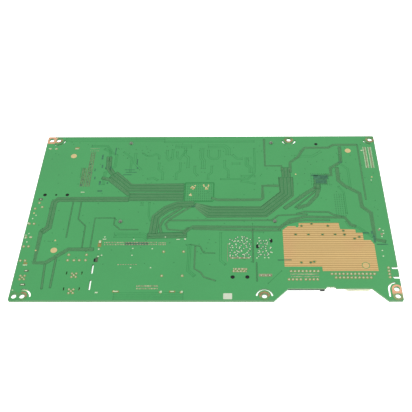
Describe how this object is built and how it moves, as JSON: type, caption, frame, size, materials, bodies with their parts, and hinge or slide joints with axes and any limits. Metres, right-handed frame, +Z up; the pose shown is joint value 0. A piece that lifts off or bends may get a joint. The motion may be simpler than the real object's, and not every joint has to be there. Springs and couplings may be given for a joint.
{
  "type": "control board",
  "caption": "Large rectangular electronic control board lying solder side up, with a notched front edge, mounting holes, connectors and a finned heat sink underneath.",
  "frame": {"origin": "on the resting surface, under the middle of the board", "axes": "+X along the board, +Y towards its back edge (away from the notch), +Z up, out of the solder side"},
  "size_m": [0.3, 0.18, 0.0174],
  "materials": {
    "solder_mask": "satin green mask over copper",
    "masked_tracks": "darker green mask over fine tracks",
    "bare_copper": "tan bare copper with stripes",
    "gold_finish": "pale gold finish",
    "solder": "bright solder",
    "white_ink": "white ink",
    "nylon": "translucent nylon",
    "spring_steel": "drawn wire",
    "sink_aluminium": "milled, satin",
    "chip_body": "moulded, fine grain",
    "thermal_pad": "soft pad",
    "tinned_metal": "tin plated",
    "black_plastic": "moulded",
    "cream_plastic": "moulded nylon",
    "screening_sheet": "tinned sheet",
    "contact_gold": "gold flash",
    "plated_brass": "nickel plated",
    "ferrite": "pressed ferrite",
    "copper_wire": "enamelled wire",
    "can_aluminium": "drawn can",
    "ceramic_tan": "fired ceramic",
    "resistor_black": "glass coated"
  },
  "bodies": {
    "root": {"amplifier_chip": "chip_body", "audio_jack": "black_plastic", "blank_label": "white_ink", "can_capacitors": "can_aluminium", "capacitor_bases": "black_plastic", "card_contacts": "contact_gold", "card_cover": "screening_sheet", "card_guides": "black_plastic", "card_header": "black_plastic", "card_joints": "solder", "ceramic_capacitors": "ceramic_tan", "chip_resistors": "resistor_black", "choke_core": "ferrite", "choke_legs": "tinned_metal", "choke_winding": "copper_wire", "circuit_board": "solder_mask", "coax_joints": "solder", "copper_heat_field": "bare_copper", "crystals": "screening_sheet", "display_connector": "cream_plastic", "display_connector_leads": "tinned_metal", "filter_block": "black_plastic", "flash_chip": "chip_body", "header_joints": "solder", "heat_sink": "sink_aluminium", "main_processor": "chip_body", "media_shells": "screening_sheet", "media_tongues": "black_plastic", "memory_chips": "chip_body", "mounting_lands": "bare_copper", "network_contacts": "contact_gold", "network_housing": "black_plastic", "network_pins": "tinned_metal", "network_shield": "screening_sheet", "panel_connector": "cream_plastic", "panel_processor": "chip_body", "panel_processor_leads": "tinned_metal", "pin_springs": "spring_steel", "power_coils": "ferrite", "power_header": "black_plastic", "power_header_pins": "tinned_metal", "power_switches": "chip_body", "push_pins": "nylon", "receiver_can": "screening_sheet", "receiver_connector": "black_plastic", "round_lands": "gold_finish", "screening_can": "screening_sheet", "service_connector": "cream_plastic", "side_coax_socket": "plated_brass", "side_header": "cream_plastic", "side_header_contacts": "tinned_metal", "signal_header": "cream_plastic", "signal_header_pins": "tinned_metal", "signal_tracks": "masked_tracks", "small_chips": "chip_body", "socket_joints": "solder", "socket_pins": "tinned_metal", "test_points": "gold_finish", "thermal_pads": "thermal_pad", "upright_coax_sockets": "plated_brass"}
  },
  "joints": []
}
